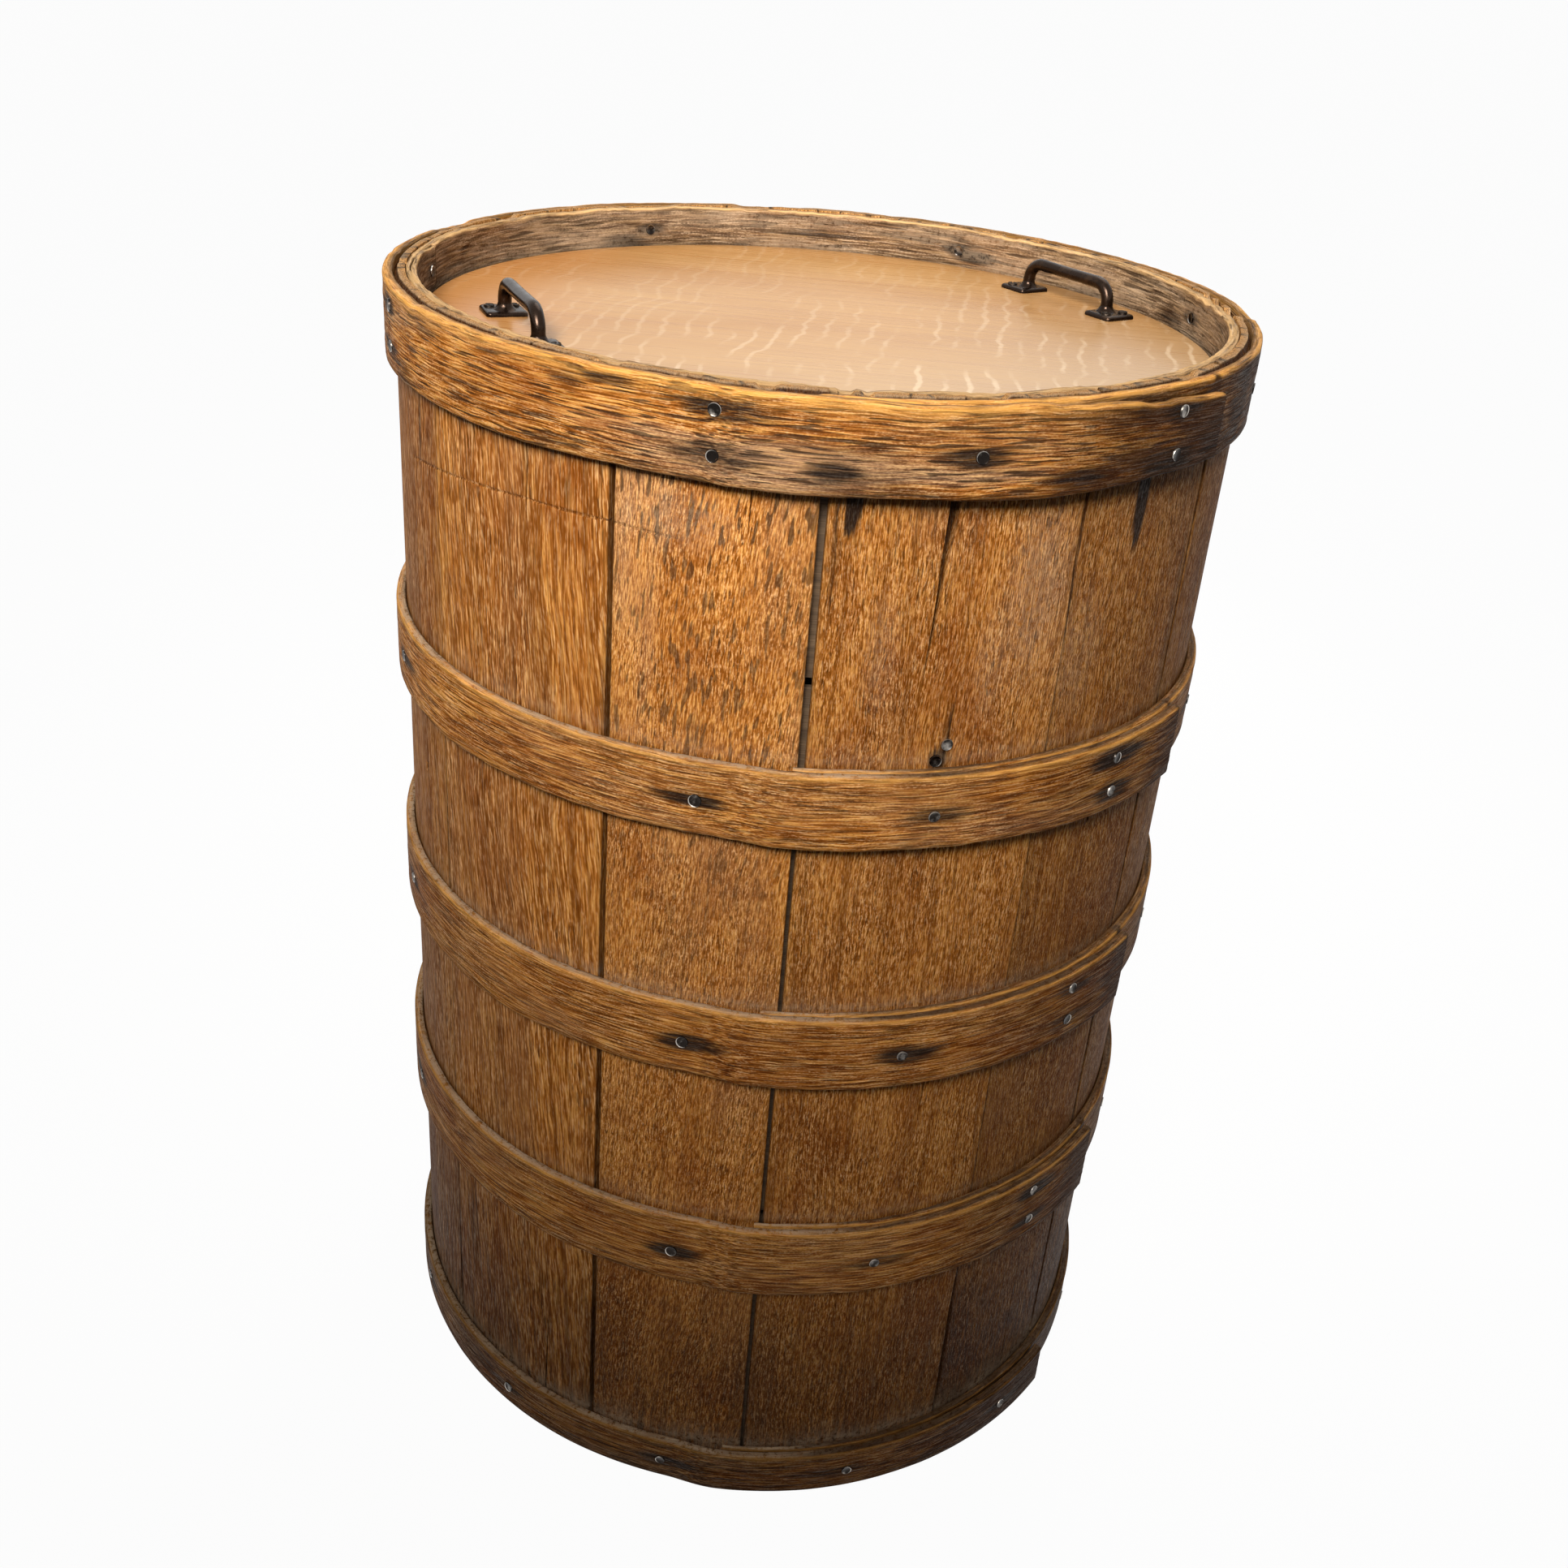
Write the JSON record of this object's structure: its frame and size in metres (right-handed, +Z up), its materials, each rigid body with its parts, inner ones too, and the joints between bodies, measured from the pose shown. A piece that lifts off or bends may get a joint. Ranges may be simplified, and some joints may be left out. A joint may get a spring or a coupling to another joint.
{
  "type": "wooden firkin",
  "caption": "Tall straight-sided wooden firkin of upright staves bound by lapped, nailed hoops, with a recessed lid that lifts out by bow pulls.",
  "frame": {"origin": "on the drum's axis at the foot, where it stands on the floor", "axes": "+Z up along the drum's axis; -Y is the side that the reference view looks at"},
  "size_m": [0.5853, 0.5892, 0.85],
  "materials": {
    "stave_oak": "old oiled oak, upright grain",
    "hoop_oak": "old oiled oak, grain along the strip, iron stains",
    "nail_iron": "dark worn iron",
    "lining_wood": "grey-brown bare wood, grain round the drum",
    "inner_hoop_wood": "grey-brown bare wood",
    "bottom_wood": "bare board",
    "lid_oak": "glossy quarter-sawn oak",
    "pull_bronze": "dark bronzed iron, glossy",
    "screw_steel": "dark iron"
  },
  "bodies": {
    "drum": {"stave_01": "stave_oak", "stave_02": "stave_oak", "stave_03": "stave_oak", "stave_04": "stave_oak", "stave_05": "stave_oak", "stave_06": "stave_oak", "stave_07": "stave_oak", "stave_08": "stave_oak", "stave_09": "stave_oak", "stave_10": "stave_oak", "stave_11": "stave_oak", "stave_12": "stave_oak", "stave_13": "stave_oak", "top_hoop": "hoop_oak", "upper_hoop": "hoop_oak", "middle_hoop": "hoop_oak", "lower_hoop": "hoop_oak", "bottom_hoop": "hoop_oak", "top_hoop_nails": "nail_iron", "upper_hoop_nails": "nail_iron", "middle_hoop_nails": "nail_iron", "lower_hoop_nails": "nail_iron", "bottom_hoop_nails": "nail_iron", "upper_lining": "lining_wood", "middle_lining": "lining_wood", "lower_lining": "lining_wood", "rim_inner_hoop": "inner_hoop_wood", "rim_inner_hoop_nails": "nail_iron", "lid_cleat_1": "inner_hoop_wood", "lid_cleat_2": "inner_hoop_wood", "lid_cleat_3": "inner_hoop_wood", "lid_cleat_4": "inner_hoop_wood", "bottom_board_1": "bottom_wood", "bottom_board_2": "bottom_wood", "bottom_board_3": "bottom_wood", "bottom_board_4": "bottom_wood"},
    "lid": {"lid": "lid_oak", "left_pull": "pull_bronze", "left_pull_screws": "screw_steel", "right_pull": "pull_bronze", "right_pull_screws": "screw_steel"}
  },
  "joints": [
    {"name": "lid_lift", "type": "slide", "parent": "drum", "child": "lid", "axis": [0, 0, 1], "range_m": [0, 0.15]}
  ]
}
